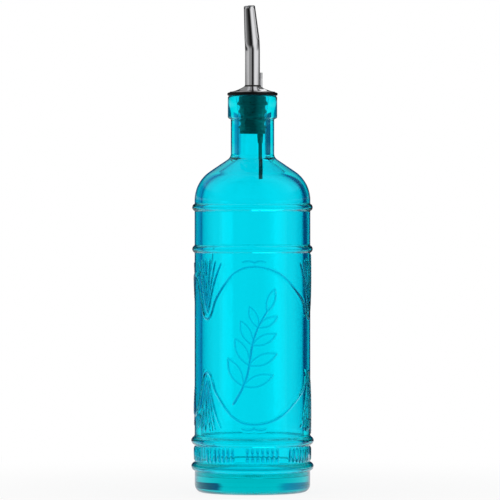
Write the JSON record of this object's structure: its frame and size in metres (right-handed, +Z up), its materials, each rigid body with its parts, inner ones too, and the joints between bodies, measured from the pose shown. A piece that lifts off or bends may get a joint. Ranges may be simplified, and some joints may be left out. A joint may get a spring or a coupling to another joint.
{
  "type": "glass oil bottle",
  "caption": "Round moulded glass oil bottle with raised rings, closed by a ribbed stopper that carries a bent steel pouring spout and an air vent.",
  "frame": {"origin": "middle of the standing ring, on the table", "axes": "+Z up along the bottle's axis; +Y away from the viewer of the picture; +X to that viewer's right"},
  "size_m": [0.0742, 0.074, 0.2944],
  "materials": {
    "turquoise_glass": "clear, fire polished",
    "black_rubber": "smooth, slightly glossy",
    "stopper_rubber": "smooth",
    "black_plastic": "smooth",
    "polished_steel": "polished stainless",
    "braze_filler": "dull"
  },
  "bodies": {
    "bottle": {"glass_bottle": "turquoise_glass"},
    "collar": {"sealing_collar": "black_rubber"},
    "stopper": {"stopper": "stopper_rubber", "breather_tube": "black_plastic"},
    "spout": {"dome_cap": "polished_steel", "spout_tube": "polished_steel", "vent_pipe": "polished_steel", "braze_ring": "braze_filler"}
  },
  "joints": [
    {"name": "pourer_lift", "type": "slide", "parent": "bottle", "child": "collar", "axis": [0, 0, 1], "range_m": [0, 0.06]},
    {"name": "pourer_turn", "type": "hinge", "parent": "collar", "child": "stopper", "pos_m": [0, 0, 0.2397], "axis": [0, 0, 1], "continuous": true},
    {"name": "spout_pull", "type": "slide", "parent": "stopper", "child": "spout", "axis": [0, 0, 1], "range_m": [0, 0.03]}
  ]
}
